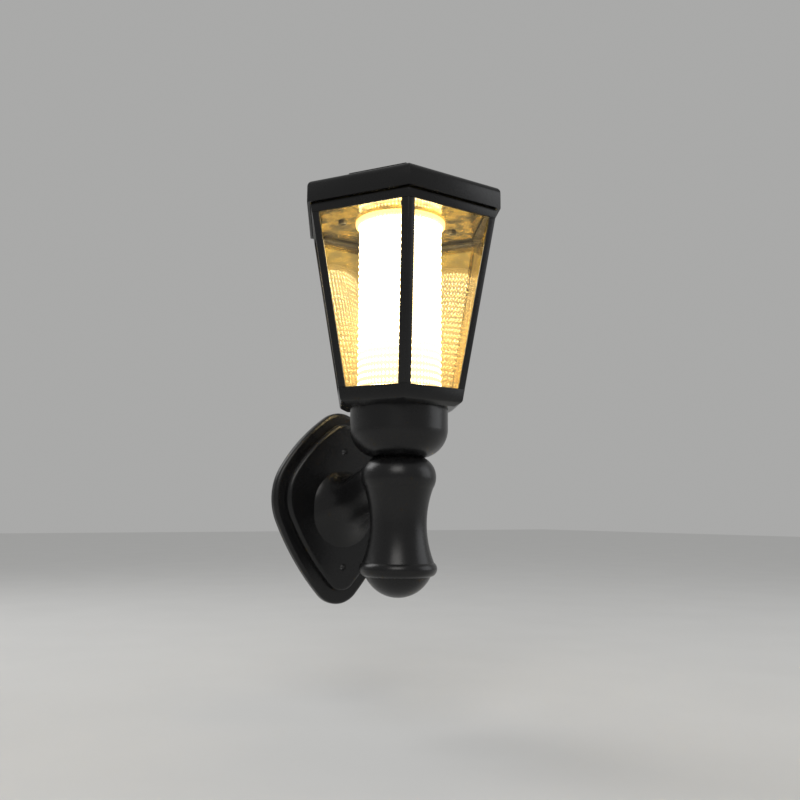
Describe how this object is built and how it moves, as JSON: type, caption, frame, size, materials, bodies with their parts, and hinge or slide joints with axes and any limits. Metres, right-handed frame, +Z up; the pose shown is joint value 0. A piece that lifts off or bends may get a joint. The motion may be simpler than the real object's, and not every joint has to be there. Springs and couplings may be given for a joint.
{
  "type": "wall lantern",
  "caption": "Hexagonal tapered wall lantern with clear panes, a ribbed light tube, a solar roof that lifts off, a turned post and a leaf-shaped wall plate",
  "frame": {"origin": "centre of the wall plate's back face, on the wall's plane", "axes": "+Z up, +Y into the wall, the lantern stands off towards -Y"},
  "size_m": [0.1602, 0.1593, 0.32],
  "materials": {
    "black_coat": "satin",
    "clear_pane": "gloss",
    "prism": "ribbed",
    "ceiling": "gloss",
    "steel": "satin",
    "gasket": "matt",
    "solar_cell": "gloss",
    "board": "satin",
    "lamp": "gloss",
    "black_plastic": "matt",
    "cell_wrap": "gloss",
    "white_plastic": "satin"
  },
  "bodies": {
    "lantern": {"wall_plate": "black_coat", "arm_screws": "steel", "bracket_arm": "black_coat", "finial": "black_coat", "tie_rod": "steel", "bowl": "black_coat", "base_pan": "black_coat", "rod_washer": "steel", "rod_nut": "steel", "corner_bar_1": "black_coat", "corner_bar_2": "black_coat", "corner_bar_3": "black_coat", "corner_bar_4": "black_coat", "corner_bar_5": "black_coat", "corner_bar_6": "black_coat", "pane_1": "clear_pane", "pane_2": "clear_pane", "pane_3": "clear_pane", "pane_4": "clear_pane", "pane_5": "clear_pane", "pane_6": "clear_pane", "top_ring": "black_coat", "head_gasket": "gasket"},
    "solar_head": {"roof_shell": "black_coat", "solar_panel": "solar_cell", "ceiling_plate": "ceiling", "ceiling_screws": "steel", "light_tube": "prism", "led_board": "board", "led_lamps": "lamp", "battery_holder": "black_plastic", "battery_cells": "cell_wrap", "circuit_board": "board", "switch_body": "black_plastic"},
    "switch": {"switch_slider": "white_plastic"}
  },
  "joints": [
    {"name": "roof_lift", "type": "slide", "parent": "lantern", "child": "solar_head", "axis": [0, 0, 1], "range_m": [0, 0.14]},
    {"name": "switch_slide", "type": "slide", "parent": "solar_head", "child": "switch", "axis": [1, 0, 0], "range_m": [0, 0.004]}
  ]
}
